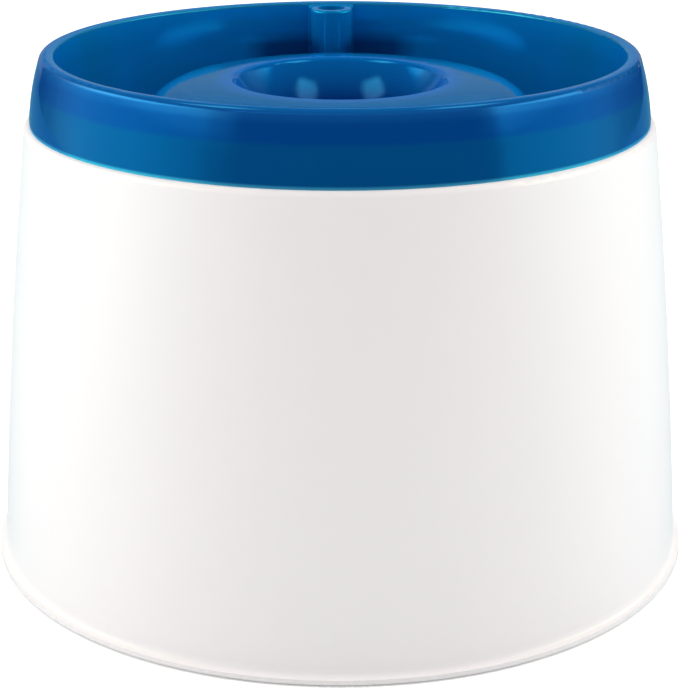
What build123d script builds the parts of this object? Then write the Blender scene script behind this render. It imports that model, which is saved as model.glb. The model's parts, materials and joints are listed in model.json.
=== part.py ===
from build123d import *
import math
import os

# Pet water fountain. Millimetres, +Z up, origin at the centre of the footprint on the floor.
# The drinking front faces -Y and the spout stands at +Y.
# A pump in the white reservoir lifts water up the spout at the back of the blue top basin.
# It fills the ring-shaped moat, runs over the dome's crest into the crater, and falls
# through the filter cartridge back into the reservoir.

# ---------------------------------------------------------------- reservoir
foot_radius = 112.5  # outer edge of the foot flange
foot_stand = 0.8  # the rubber pads hold the flange this far off the floor
flange_thickness = 1.4
flange_width = 2.1  # the flange stands out this far from the wall above it
flare_height = 4.6  # the concave sweep from flange to wall ends this far above the floor
body_taper = 12.4  # the wall leans in this much on its way up
shoulder_height = 139.8  # flat ledge that carries the basin
shoulder_rounding = 1.8
body_bulge = 0.88  # the wall bows out this much at half height
body_wall = 2.4
floor_underside = 7.0
floor_thickness = 2.4
floor_corner = 6.0
neck_rise = 11.7  # the neck stands this far above the shoulder
neck_draft = 1.4
neck_wall = 2.0
neck_gap = 1.1  # between the neck's foot and the collar round it
foot_pad_radius = 7.0
foot_pad_inset = 13.4  # pad centres, inside the wall's foot
foot_pad_height = 3.2
foot_pad_clearance = 0.1
foot_boss_wall = 1.8

# ---------------------------------------------------------------- top basin
basin_wall = 1.8
collar_setback = 1.7  # the collar's foot stands this far inside the shoulder's edge
collar_draft = 4.35
rim_core = 0.4  # the rim is this much thicker than the two walls that meet in it
rim_rise = 21.15  # top of the rim above the shoulder
rim_fall = 0.5  # the rim's top slopes down this much to its inner edge
rim_inner_rounding = 0.7
rim_outer_rounding = 2.2
collar_lean = 0.308  # the collar leans in this much per millimetre just below the rim
collar_lean_height = 3.4
channel_headroom = 5.5  # space above the neck, in the slot that takes it
moat_sink = 11.8  # moat floor below the shoulder
moat_draft = 1.35
moat_corner = 5.0
moat_width = 22.8
dome_draft = 8.0  # degrees the dome's wall leans in from its foot
dome_shoulder_radius = 16.0
dome_top_radius = 72.0
dome_top_turn = 12.6  # degrees of the dome's flat top, from its shoulder to its crest
dome_crest_rise = 23.4  # above the moat floor, as the two heights that follow
throat_top_rise = 3.8
throat_bottom_rise = 1.0
crater_lip_radius = 2.8
crater_lip_turn = 56.0  # degrees from the crest to the steep side of the crater
throat_radius = 7.0
skirt_inset = 18.8  # ring under the dome that grips the filter tray, inside the dome's foot
skirt_drop = 11.0  # it hangs this far below the moat floor

# ---------------------------------------------------------------- spout
spout_setback = 5.6  # spout axis, in from the moat's outer wall
spout_radius = 7.2
spout_bore = 4.7
spout_drop = 1.15  # mouth below the rim
spout_blend = 1.0  # fillet where the column meets the moat
spout_lip_rounding = 0.9
spout_root = 0.3  # the column reaches this far into the moat's outer wall
socket_wall = 2.1  # lower end, under the moat floor
socket_drop = 20.0
socket_depth = 14.0
seal_wall = 1.25
seal_length = 10.0
seal_inset = 1.0
riser_bore = 3.6
riser_wall = 1.4
riser_overlap = 12.0  # length of the riser's tip inside the spout's socket
running_gap = 0.05

# ---------------------------------------------------------------- filter
tray_gap = 0.4
tray_wall = 1.6
tray_hang = 13.0  # tray floor below the foot of the skirt
tray_grip = 9.0  # length of the tray inside the skirt
tray_stop_width = 2.4
tray_stop_thickness = 2.0
tray_rounding = 1.0
drain_slots = 12
slot_width = 2.6
cartridge_gap = 0.5
cartridge_lift_gap = 0.2
cartridge_height = 17.0
cartridge_wall = 1.2
cartridge_rounding = 0.6
lid_thickness = 1.4
felt_thickness = 2.0
foam_thickness = 5.0
media_gap = 0.2

# ---------------------------------------------------------------- pump
pump_length = 22.0  # motor block, front to back
pump_overhang = 6.0  # the block's rear stands this far behind the spout's axis
pump_wall = 1.6
pump_rounding = 3.0
pump_headroom = 2.9  # block above the impeller chamber
cup_height = 6.0
cup_radius = 5.4
cup_lip = 0.8
cup_neck_radius = 2.8
cup_stem_radius = 2.0
cup_stem_length = 1.2
cup_spacing_x = 17.0
cup_spacing_y = 12.0
shaft_above_base = 20.0
rotor_gap = 0.6  # between the magnet and its well
well_wall = 1.0
well_depth = 19.0
shaft_radius = 1.15
magnet_radius = 6.7
magnet_length = 14.5
magnet_start = 1.0  # behind the pump's face
sleeve_radius = 3.0
bush_radius = 2.6
bush_length = 2.6
bush_seat_wall = 0.9
core_depth = 10.0
core_leg = 3.6
core_gap = 0.3
yoke_height = 3.4
bobbin_wall = 0.8
bobbin_half_length = 7.0
winding_depth = 1.5
chamber_radius = 11.6
chamber_depth = 11.0
chamber_wall = 1.5
chamber_clearance = 0.5  # between the chamber and the cover in front of it
cover_flange = 2.0
o_ring_gap = 1.6  # from the chamber to the seal's centre line
o_ring_section = 0.75
impeller_gap = 1.2
impeller_vanes = 6
vane_thickness = 1.0
vane_depth = 7.2
plate_thickness = 1.0
hub_radius = 3.8
intake_radius = 6.0
spoke_width = 1.6
stub_wall = 1.4
stub_bore = 3.4
stub_length = 12.0
riser_socket_depth = 8.0
riser_socket_wall = 1.5
riser_bend = 18.0
riser_lean = 55.0  # degrees off vertical between the riser's two bends
intake_depth = 9.0
intake_wall = 1.4
intake_gap = 0.3
intake_rounding = 1.0
side_slots = 4
sponge_thickness = 3.0
dial_radius = 7.5
dial_thickness = 1.6
dial_windows = 4
window_radius = 1.8
window_circle = 4.9
dial_pin_radius = 1.5
dial_chamfer = 0.4
gland_radius = 3.6
gland_height = 8.0
gland_bore = 2.4
gland_gap = 0.2  # between the gland and the block's side wall

guide_height = 10.0  # ribs on the reservoir's floor that keep the pump in place
guide_thickness = 1.6
guide_gap = 0.8

# ---------------------------------------------------------------- cord exit
notch_width = 9.0
notch_drop = 9.8  # bottom of the notch below the shoulder
grommet_gap = 0.15
grommet_wall = 1.25
grommet_lip = 1.1
grommet_lip_width = 1.2
grommet_stand = 2.6  # its outer lip stands this far out from the shoulder's edge

# ---------------------------------------------------------------- worked out
floor_top = floor_underside + floor_thickness
flange_top = foot_stand + flange_thickness
wall_top = shoulder_height - shoulder_rounding
body_base_radius = foot_radius - flange_width
body_top_radius = body_base_radius - body_taper
foot_pad_circle = body_base_radius - foot_pad_inset

collar_foot_radius = body_top_radius - collar_setback
rim_outer_radius = collar_foot_radius - collar_draft
rim_inner_radius = rim_outer_radius - 2 * basin_wall - rim_core
rim_height = shoulder_height + rim_rise
neck_foot_radius = collar_foot_radius - basin_wall - neck_gap
neck_top_radius = neck_foot_radius - neck_draft
neck_height = shoulder_height + neck_rise
channel_top = neck_height + channel_headroom

moat_floor = shoulder_height - moat_sink
moat_outer_radius = rim_inner_radius - moat_draft
dome_foot_radius = moat_outer_radius - moat_width
dome_crest_height = moat_floor + dome_crest_rise
dome_top_slope = math.radians(dome_top_turn)
dome_lean = math.radians(dome_draft)
dome_wall_rise = (
    dome_crest_rise
    - dome_top_radius * (1 - math.cos(dome_top_slope))
    - dome_shoulder_radius * (math.cos(dome_top_slope) - math.sin(dome_lean))
)
dome_crest_radius = (
    dome_foot_radius
    - dome_wall_rise * math.tan(dome_lean)
    - dome_shoulder_radius * (math.cos(dome_lean) - math.sin(dome_top_slope))
    - dome_top_radius * math.sin(dome_top_slope)
)
throat_top = moat_floor + throat_top_rise
throat_bottom = moat_floor + throat_bottom_rise
crater_steepness = math.radians(crater_lip_turn)
crater_width = dome_crest_radius - crater_lip_radius * math.sin(crater_steepness) - throat_radius
crater_depth = dome_crest_height - crater_lip_radius * (1 - math.cos(crater_steepness)) - throat_top
crater_end_slope = 2 * math.atan2(crater_depth, crater_width) - crater_steepness  # at the throat
skirt_inner_radius = dome_foot_radius - skirt_inset
skirt_bottom = moat_floor - skirt_drop

riser_radius = riser_bore + riser_wall
spout_offset = moat_outer_radius - spout_setback
spout_top = rim_height - spout_drop
socket_bore = riser_radius + running_gap + seal_wall
socket_outer_radius = socket_bore + socket_wall
socket_bottom = moat_floor - socket_drop
riser_top = socket_bottom + riser_overlap

tray_bottom = skirt_bottom - tray_hang
tray_height = tray_hang + tray_grip
tray_radius = skirt_inner_radius - tray_gap
cartridge_radius = tray_radius - tray_wall - cartridge_gap
cartridge_bottom = tray_bottom + tray_wall + cartridge_lift_gap
cartridge_top = cartridge_bottom + cartridge_height
media_radius = cartridge_radius - cartridge_wall - media_gap

pump_rear = spout_offset + pump_overhang
pump_face = pump_rear - pump_length  # plane between motor block and impeller chamber
pump_base = floor_top + cup_height
shaft_height = pump_base + shaft_above_base
well_radius = magnet_radius + rotor_gap
well_outer = well_radius + well_wall
leg_inner = well_outer + core_gap
leg_outer = leg_inner + core_leg
chamber_outer = chamber_radius + chamber_wall
chamber_front = pump_face - chamber_depth - chamber_wall
pump_half_width = max(
    chamber_outer + chamber_clearance + intake_wall, leg_outer + core_gap + pump_wall
)
pump_width = 2 * pump_half_width
pump_height = shaft_above_base + chamber_outer + pump_headroom
pump_top = pump_base + pump_height
impeller_radius = chamber_radius - impeller_gap
o_ring_radius = chamber_radius + o_ring_gap
stub_radius = stub_bore + stub_wall
outlet_offset = (chamber_front + pump_face - cover_flange) / 2
stub_top = shaft_height + chamber_outer + stub_length
intake_front = chamber_front - intake_depth
gland_side = gland_radius + gland_gap + pump_wall - pump_half_width
notch_bottom = shoulder_height - notch_drop
grommet_hole_radius = notch_width / 2 - grommet_gap - grommet_wall

os.makedirs("parts", exist_ok=True)


def save(piece, name):
    """Label a finished piece and write it as its own STEP file."""
    piece.part.label = name
    export_step(piece.part, f"parts/{name}.step")


def facing_front(y):
    """Upright plane at depth y that looks towards the drinking front, so extrusions run to -Y."""
    return Plane.XZ.offset(-y)


# ================================================================ reservoir
mid_height = (flare_height + wall_top) / 2
mid_radius = (body_base_radius + body_top_radius) / 2 + body_bulge

with BuildPart() as reservoir:
    with BuildSketch(Plane.XZ):
        with BuildLine():
            edge = Line((foot_radius, foot_stand), (foot_radius, flange_top))
            flare = Bezier(
                edge @ 1,
                (body_base_radius + 0.5, flange_top + 0.2),
                (body_base_radius + 0.15, flange_top + 0.9),
                (body_base_radius, flare_height),
            )
            wall = ThreePointArc(
                flare @ 1, (mid_radius, mid_height), (body_top_radius, wall_top)
            )
            ledge_edge = (body_top_radius - shoulder_rounding, shoulder_height)
            rounding = TangentArc(wall @ 1, ledge_edge, tangent=wall % 1)
            neck = FilletPolyline(
                rounding @ 1,
                (neck_foot_radius, shoulder_height),
                (neck_top_radius, neck_height),
                (neck_top_radius - neck_wall, neck_height),
                (neck_foot_radius - neck_wall, shoulder_height - body_wall),
                (body_top_radius - body_wall, shoulder_height - body_wall),
                radius=(0.4, 0.6, 0.6, 0.6),
            )
            inner_wall = ThreePointArc(
                neck @ 1,
                (mid_radius - body_wall, mid_height),
                (body_base_radius - body_wall, floor_top + floor_corner),
            )
            floor_edge = (body_base_radius - body_wall - floor_corner, floor_top)
            corner = TangentArc(inner_wall @ 1, floor_edge, tangent=inner_wall % 1)
            Polyline(
                corner @ 1,
                (0, floor_top),
                (0, floor_underside),
                (body_base_radius - body_wall, floor_underside),
                (body_base_radius - body_wall, foot_stand),
                edge @ 0,
            )
        make_face()
    revolve(axis=Axis.Z)
    # bosses under the floor that hold the rubber pads
    with BuildSketch(Plane.XY.offset(foot_stand)):
        with PolarLocations(foot_pad_circle, 4, start_angle=45):
            Circle(foot_pad_radius + foot_pad_clearance + foot_boss_wall)
    extrude(amount=floor_underside - foot_stand + 0.1)
    with BuildSketch(Plane.XY.offset(foot_stand)):
        with PolarLocations(foot_pad_circle, 4, start_angle=45):
            Circle(foot_pad_radius + foot_pad_clearance)
    extrude(amount=foot_pad_height - foot_stand, mode=Mode.SUBTRACT)
    # ribs on the floor either side of the pump
    with BuildSketch(Plane.XY.offset(floor_top)):
        for side in (-1, 1):
            rib_centre = side * (pump_width / 2 + guide_gap + guide_thickness / 2)
            with Locations((rib_centre, (pump_face + pump_rear) / 2)):
                Rectangle(guide_thickness, pump_rear - pump_face)
    extrude(amount=guide_height)
    # slot at the back for the cord, open at the top of the neck
    notch_centre = notch_bottom + notch_width / 2
    with BuildSketch(facing_front(body_base_radius)):
        with Locations((0, notch_centre)):
            Circle(notch_width / 2)
            Rectangle(notch_width, neck_height, align=(Align.CENTER, Align.MIN))
    extrude(amount=body_base_radius - moat_outer_radius, mode=Mode.SUBTRACT)
save(reservoir, "reservoir")

# ---------------------------------------------------------------- rubber pads under the foot
for i, place in enumerate(PolarLocations(foot_pad_circle, 4, start_angle=45)):
    with BuildPart() as foot_pad:
        with BuildSketch(Plane(place.position)):
            Circle(foot_pad_radius)
        extrude(amount=foot_pad_height)
        chamfer(foot_pad.edges().group_by(Axis.Z)[0], length=0.4)
    save(foot_pad, f"foot_pad_{i + 1}")

# ---------------------------------------------------------------- bush in the cord slot
grommet_top = shoulder_height - grommet_gap
grommet_inner_top = shoulder_height - body_wall - grommet_gap
grommet_outer_face = body_top_radius + grommet_stand
grommet_inner_face = body_top_radius - body_wall - 1.6
grommet_length = grommet_outer_face - grommet_inner_face


def grommet_slab(y, half_width, top, length):
    """U-shaped slab of the bush, from depth y towards the front."""
    with BuildSketch(facing_front(y)) as slab:
        with Locations((0, notch_centre)):
            Circle(half_width)
            Rectangle(2 * half_width, top - notch_centre, align=(Align.CENTER, Align.MIN))
        with Locations((0, top)):
            Rectangle(
                4 * half_width, half_width, align=(Align.CENTER, Align.MIN), mode=Mode.SUBTRACT
            )
    extrude(slab.sketch, amount=length)


with BuildPart() as cord_grommet:
    grommet_half = notch_width / 2 - grommet_gap
    lip_half = grommet_half + grommet_lip
    inner_lip_rear = grommet_inner_face + grommet_lip_width
    grommet_slab(grommet_outer_face, grommet_half, grommet_top, grommet_length)
    grommet_slab(grommet_outer_face, lip_half, grommet_top, grommet_lip_width)
    grommet_slab(inner_lip_rear, lip_half, grommet_inner_top, grommet_lip_width)
    with BuildSketch(facing_front(grommet_outer_face)):
        with Locations((0, notch_centre)):
            Circle(grommet_hole_radius)
    extrude(amount=grommet_length, mode=Mode.SUBTRACT)
save(cord_grommet, "cord_grommet")

# ================================================================ top basin
moat_wall_draft = (rim_inner_radius - moat_outer_radius) / (
    rim_height - rim_fall - moat_floor - moat_corner
)
channel_inner = (
    moat_outer_radius
    + basin_wall
    + moat_wall_draft * (channel_top - moat_floor - moat_corner)
)
channel_outer = rim_outer_radius + collar_lean * (rim_height - channel_top) - basin_wall


def basin_skin(inset):
    """The moat, dome and crater's outline, from the moat's outer corner to the foot of the
    throat, moved into the material by inset."""
    crest = (dome_crest_radius, dome_crest_height - inset)
    dome_top = JernArc(crest, (1, 0), dome_top_radius - inset, -dome_top_turn)
    dome_shoulder = JernArc(
        dome_top @ 1,
        dome_top % 1,
        dome_shoulder_radius - inset,
        dome_top_turn + dome_draft - 90,
    )
    wall_top_point = dome_shoulder @ 1
    wall_run = (wall_top_point.Y - moat_floor + inset) / math.cos(dome_lean)
    corner = RadiusArc(
        (moat_outer_radius + inset, moat_floor + moat_corner),
        (moat_outer_radius - moat_corner, moat_floor - inset),
        moat_corner + inset,
    )
    FilletPolyline(
        corner @ 1,
        wall_top_point + dome_shoulder % 1 * wall_run,
        wall_top_point,
        radius=moat_corner + inset,
    )
    lip = JernArc(crest, (-1, 0), crater_lip_radius - inset, crater_lip_turn)
    throat_edge = (
        throat_radius + inset,
        throat_top - inset * math.tan(math.radians(45) - crater_end_slope / 2),
    )
    TangentArc(lip @ 1, throat_edge, tangent=lip % 1)
    Line(throat_edge, (throat_radius + inset, throat_bottom))


# spout column with a rounded mouth, which reaches into the moat's outer wall
spout_back = rim_inner_radius + spout_root
with BuildPart() as spout_column:
    with BuildSketch(Plane.XY.offset(moat_floor - basin_wall / 2)):
        with Locations((0, spout_offset)):
            Circle(spout_radius)
            Rectangle(2 * spout_radius, spout_back, align=(Align.CENTER, Align.MIN))
        Circle(spout_back, mode=Mode.INTERSECT)
    extrude(amount=spout_top - moat_floor + basin_wall / 2)
    mouth = spout_column.edges().group_by(Axis.Z)[-1]
    fillet(mouth.sort_by(Axis.Y)[:-1], radius=spout_lip_rounding)

with BuildPart() as top_basin:
    with BuildSketch(Plane.XZ):
        # ring that grips the filter tray, trimmed where it meets the dome
        with Locations((skirt_inner_radius, skirt_bottom)):
            Rectangle(
                basin_wall, dome_crest_height - skirt_bottom, align=(Align.MIN, Align.MIN)
            )
        with BuildLine():
            basin_skin(0)
            Polyline(
                (throat_radius, throat_bottom),
                (0, throat_bottom),
                (0, rim_height),
                (moat_outer_radius, rim_height),
                (moat_outer_radius, moat_floor + moat_corner),
            )
        make_face(mode=Mode.SUBTRACT)
        with BuildLine():
            basin_skin(0)
            Line((throat_radius, throat_bottom), (throat_radius + basin_wall, throat_bottom))
            basin_skin(basin_wall)
            Polyline(
                (moat_outer_radius + basin_wall, moat_floor + moat_corner),
                (channel_inner, channel_top),
                (channel_outer, channel_top),
            )
            rim = FilletPolyline(
                (moat_outer_radius, moat_floor + moat_corner),
                (rim_inner_radius, rim_height - rim_fall),
                (rim_outer_radius, rim_height),
                (
                    rim_outer_radius + collar_lean * collar_lean_height,
                    rim_height - collar_lean_height,
                ),
                radius=(rim_inner_rounding, rim_outer_rounding),
            )
            collar = TangentArc(
                rim @ 1, (collar_foot_radius, shoulder_height), tangent=rim % 1
            )
            collar_inside = TangentArc(
                (collar_foot_radius - basin_wall, shoulder_height),
                (channel_outer, channel_top),
                tangent=collar % 1 * -1,
            )
            Line(collar @ 1, collar_inside @ 0)
        make_face()
    revolve(axis=Axis.Z)
    add(spout_column.part)
    # blend the column into the moat's floor and outer wall
    junction = top_basin.edges().filter_by(
        lambda e: e.center().Y > spout_offset - spout_radius - 1
        and e.bounding_box().size.X < 3 * spout_radius
        and moat_floor - 0.01 < e.center().Z < spout_top - 2
        and not (e.geom_type == GeomType.LINE and abs(e.center().Y - spout_offset) < 0.01)
    )
    fillet(junction, radius=spout_blend)
    # socket for the riser below the floor, and the bore up to the mouth
    with BuildSketch(Plane.XY.offset(socket_bottom)):
        with Locations((0, spout_offset)):
            Circle(socket_outer_radius)
    extrude(amount=moat_floor - basin_wall / 2 - socket_bottom)
    with BuildSketch(Plane.XY.offset(socket_bottom)):
        with Locations((0, spout_offset)):
            Circle(socket_bore)
    extrude(amount=socket_depth, mode=Mode.SUBTRACT)
    with BuildSketch(Plane.XY.offset(socket_bottom)):
        with Locations((0, spout_offset)):
            Circle(spout_bore)
    extrude(amount=rim_height - socket_bottom, mode=Mode.SUBTRACT)
save(top_basin, "top_basin")

# ---------------------------------------------------------------- sleeve that seals the riser
with BuildPart() as outlet_seal:
    with BuildSketch(Plane.XY.offset(socket_bottom + seal_inset)):
        with Locations((0, spout_offset)):
            Circle(socket_bore)
            Circle(riser_radius + running_gap, mode=Mode.SUBTRACT)
    extrude(amount=seal_length)
save(outlet_seal, "outlet_seal")


# ================================================================ filter tray and cartridge
def radial_slots(height, depth, inner, outer):
    """Cut a ring of radial slots of the given depth down from height."""
    half_step = 180 / drain_slots
    middle = (inner + outer) / 2
    with BuildSketch(Plane.XY.offset(height)) as slots:
        with PolarLocations(middle, drain_slots):
            SlotOverall(outer - inner, slot_width)
        with PolarLocations((middle + outer) / 2, drain_slots, start_angle=half_step):
            SlotOverall(outer - middle, slot_width)
    extrude(slots.sketch, amount=-depth, mode=Mode.SUBTRACT)


with BuildPart() as filter_tray:
    with BuildSketch(Plane.XY.offset(tray_bottom)):
        Circle(tray_radius)
    extrude(amount=tray_height)
    fillet(filter_tray.edges().group_by(Axis.Z)[0], radius=tray_rounding)
    with BuildSketch(Plane.XY.offset(tray_bottom + tray_wall)):
        Circle(tray_radius - tray_wall)
    extrude(amount=tray_height, mode=Mode.SUBTRACT)
    # stop ring that meets the foot of the basin's skirt
    with BuildSketch(Plane.XY.offset(skirt_bottom - media_gap)):
        Circle(tray_radius + tray_stop_width)
        Circle(tray_radius - tray_wall / 2, mode=Mode.SUBTRACT)
    extrude(amount=-tray_stop_thickness)
    radial_slots(tray_bottom + tray_wall, tray_wall, slot_width * 3, tray_radius - 4)
save(filter_tray, "filter_tray")

with BuildPart() as cartridge_frame:
    with BuildSketch(Plane.XY.offset(cartridge_bottom)):
        Circle(cartridge_radius)
    extrude(amount=cartridge_height - lid_thickness)
    fillet(cartridge_frame.edges().group_by(Axis.Z)[0], radius=cartridge_rounding)
    with BuildSketch(Plane.XY.offset(cartridge_bottom + cartridge_wall)):
        Circle(cartridge_radius - cartridge_wall)
    extrude(amount=cartridge_height, mode=Mode.SUBTRACT)
    radial_slots(
        cartridge_bottom + cartridge_wall, cartridge_wall, slot_width * 3, media_radius - 2
    )
save(cartridge_frame, "cartridge_frame")

media_bottom = cartridge_bottom + cartridge_wall
media_top = cartridge_top - lid_thickness
carbon_bottom = media_bottom + felt_thickness
foam_bottom = media_top - foam_thickness
media_layers = {
    "filter_felt": (media_bottom, carbon_bottom),
    "filter_carbon": (carbon_bottom, foam_bottom),
    "filter_foam": (foam_bottom, media_top),
}
for name, (low, high) in media_layers.items():
    with BuildPart() as layer:
        with BuildSketch(Plane.XY.offset(low)):
            Circle(media_radius)
        extrude(amount=high - low)
    save(layer, name)

with BuildPart() as cartridge_lid:
    with BuildSketch(Plane.XY.offset(cartridge_top)):
        Circle(cartridge_radius)
    extrude(amount=-lid_thickness)
    fillet(cartridge_lid.edges().group_by(Axis.Z)[-1], radius=cartridge_rounding)
    with BuildSketch(Plane.XY.offset(cartridge_top)):
        Circle(throat_radius)
    extrude(amount=-lid_thickness, mode=Mode.SUBTRACT)
    radial_slots(cartridge_top, lid_thickness, slot_width * 3 + 2, media_radius - 2)
    # pull tab across the open centre
    with BuildSketch(Plane.XY.offset(cartridge_top)):
        Rectangle(2 * throat_radius + 2, slot_width)
    extrude(amount=-lid_thickness)
save(cartridge_lid, "cartridge_lid")

# ================================================================ pump
pump_centre = (0, pump_base + pump_height / 2)
pump_middle = (pump_face + pump_rear) / 2
yoke_centre = pump_base + pump_wall + core_gap + winding_depth + bobbin_wall + yoke_height / 2

with BuildPart() as pump_housing:
    with BuildSketch(facing_front(pump_rear)):
        with Locations(pump_centre):
            RectangleRounded(pump_width, pump_height, pump_rounding)
    extrude(amount=pump_rear - pump_face)
    with BuildSketch(facing_front(pump_rear)):
        with Locations(pump_centre):
            RectangleRounded(
                pump_width - 2 * pump_wall,
                pump_height - 2 * pump_wall,
                pump_rounding - pump_wall,
            )
    extrude(amount=pump_rear - pump_face - pump_wall, mode=Mode.SUBTRACT)
    # closed well that separates the rotor from the motor
    with BuildSketch(facing_front(pump_face + well_depth + well_wall)):
        with Locations((0, shaft_height)):
            Circle(well_outer)
    extrude(amount=well_depth + well_wall)
    with BuildSketch(facing_front(pump_face + well_depth)):
        with Locations((0, shaft_height)):
            Circle(well_radius)
    extrude(amount=well_depth, mode=Mode.SUBTRACT)
    with BuildSketch(facing_front(pump_face + well_depth)):
        with Locations((0, shaft_height)):
            Circle(bush_radius + bush_seat_wall)
            Circle(bush_radius, mode=Mode.SUBTRACT)
    extrude(amount=bush_length)
    # sockets for the suction cups' stems
    with BuildSketch(Plane.XY.offset(pump_base)):
        with Locations((0, pump_middle)):
            with GridLocations(cup_spacing_x, cup_spacing_y, 2, 2):
                Circle(cup_stem_radius)
    extrude(amount=cup_stem_length, mode=Mode.SUBTRACT)
    # hole for the cord gland
    with BuildSketch(Plane.XY.offset(pump_top)):
        with Locations((gland_side, pump_middle)):
            Circle(gland_radius)
    extrude(amount=-pump_wall, mode=Mode.SUBTRACT)
save(pump_housing, "pump_housing")

# ---------------------------------------------------------------- stator
with BuildPart() as stator_core:
    with BuildSketch(facing_front(pump_middle + core_depth / 2)):
        with Locations((0, yoke_centre)):
            Rectangle(2 * leg_outer, yoke_height)
        leg_foot = yoke_centre - yoke_height / 2
        leg_height = shaft_height + sleeve_radius * 2 - leg_foot
        with Locations((-leg_outer, leg_foot), (leg_inner, leg_foot)):
            Rectangle(core_leg, leg_height, align=(Align.MIN, Align.MIN))
    extrude(amount=core_depth)
save(stator_core, "stator_core")


def around_yoke(half_length, inner_grow, outer_grow, x_from=0.0):
    """Rectangular sleeve along X around the yoke, grown by the two amounts."""
    with BuildSketch(Plane.YZ.offset(x_from)) as ring:
        with Locations((pump_middle, yoke_centre)):
            Rectangle(core_depth + 2 * outer_grow, yoke_height + 2 * outer_grow)
            Rectangle(
                core_depth + 2 * inner_grow, yoke_height + 2 * inner_grow, mode=Mode.SUBTRACT
            )
    extrude(ring.sketch, amount=half_length, both=True)


with BuildPart() as coil_bobbin:
    around_yoke(bobbin_half_length, 0, bobbin_wall)
    for side in (-1, 1):
        around_yoke(
            bobbin_wall / 2,
            bobbin_wall / 2,
            bobbin_wall + winding_depth,
            side * (bobbin_half_length - bobbin_wall / 2),
        )
save(coil_bobbin, "coil_bobbin")

with BuildPart() as coil_winding:
    around_yoke(bobbin_half_length - bobbin_wall, bobbin_wall, bobbin_wall + winding_depth)
save(coil_winding, "coil_winding")

# ---------------------------------------------------------------- cord gland
with BuildPart() as cord_gland:
    with BuildSketch(Plane.XY.offset(pump_top - pump_wall)):
        with Locations((gland_side, pump_middle)):
            Circle(gland_radius)
    extrude(amount=gland_height + pump_wall, taper=3)
    with BuildSketch(Plane.XY.offset(pump_top - pump_wall)):
        with Locations((gland_side, pump_middle)):
            Circle(gland_bore)
    extrude(amount=gland_height + pump_wall, mode=Mode.SUBTRACT)
save(cord_gland, "cord_gland")

# ---------------------------------------------------------------- resin that seals the motor
with BuildPart() as potting_resin:
    with BuildSketch(facing_front(pump_rear - core_gap)):
        with Locations(pump_centre):
            RectangleRounded(
                pump_width - 2 * pump_wall,
                pump_height - 2 * pump_wall,
                pump_rounding - pump_wall,
            )
    extrude(amount=pump_rear - core_gap - pump_face - pump_wall)
    with BuildSketch(facing_front(pump_face + well_depth + well_wall)):
        with Locations((0, shaft_height)):
            Circle(well_outer)
    extrude(amount=well_depth + well_wall, mode=Mode.SUBTRACT)
    add(stator_core.part, mode=Mode.SUBTRACT)
    add(coil_bobbin.part, mode=Mode.SUBTRACT)
    add(coil_winding.part, mode=Mode.SUBTRACT)
save(potting_resin, "potting_resin")

# ---------------------------------------------------------------- suction cups
cup_places = GridLocations(cup_spacing_x, cup_spacing_y, 2, 2)
for i, place in enumerate(cup_places):
    with BuildPart() as suction_cup:
        with BuildSketch(Plane.XZ):
            with BuildLine():
                stem = Polyline(
                    (0, pump_base + cup_stem_length),
                    (cup_stem_radius, pump_base + cup_stem_length),
                    (cup_stem_radius, pump_base),
                    (cup_neck_radius, pump_base),
                    (cup_neck_radius, pump_base - cup_height / 3),
                )
                bell = Bezier(
                    stem @ 1,
                    (cup_neck_radius, floor_top + 2 * cup_lip),
                    (cup_radius - cup_lip, floor_top + 2 * cup_lip),
                    (cup_radius, floor_top + cup_lip / 2),
                )
                lip = Polyline(bell @ 1, (cup_radius, floor_top), (cup_radius - cup_lip, floor_top))
                Spline(
                    lip @ 1,
                    (0, floor_top + cup_height / 3),
                    tangents=((-cup_radius, cup_height / 2), (-1, 0)),
                )
                Line((0, floor_top + cup_height / 3), stem @ 0)
            make_face()
        revolve(axis=Axis.Z)
    where = place.position + Vector(0, pump_middle, 0)
    suction_cup.part = suction_cup.part.moved(Location(where))
    save(suction_cup, f"suction_cup_{i + 1}")

# ---------------------------------------------------------------- shaft and its bushes
shaft_rear = pump_face + well_depth
shaft_front = chamber_front + 0.3


def on_shaft(rear, front, radius, bore=0.0):
    """Round piece on the pump's shaft, from depth rear forwards to depth front."""
    with BuildSketch(facing_front(rear)) as section:
        with Locations((0, shaft_height)):
            Circle(radius)
            if bore:
                Circle(bore, mode=Mode.SUBTRACT)
    extrude(section.sketch, amount=rear - front)


with BuildPart() as impeller_shaft:
    on_shaft(shaft_rear - 0.2, shaft_front, shaft_radius)
save(impeller_shaft, "impeller_shaft")

with BuildPart() as shaft_bush_rear:
    on_shaft(shaft_rear, shaft_rear - bush_length, bush_radius, shaft_radius)
save(shaft_bush_rear, "shaft_bush_rear")

with BuildPart() as shaft_bush_front:
    on_shaft(chamber_front + bush_length, chamber_front, bush_radius, shaft_radius)
save(shaft_bush_front, "shaft_bush_front")

# ---------------------------------------------------------------- rotor
magnet_front = pump_face + magnet_start
magnet_rear = magnet_front + magnet_length
plate_rear = pump_face - 0.6
vane_rear = plate_rear - plate_thickness
vane_front = vane_rear - vane_depth
rotor_bore = shaft_radius + running_gap

with BuildPart() as rotor_magnet:
    on_shaft(magnet_rear, magnet_front, magnet_radius, sleeve_radius)
save(rotor_magnet, "rotor_magnet")

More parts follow.
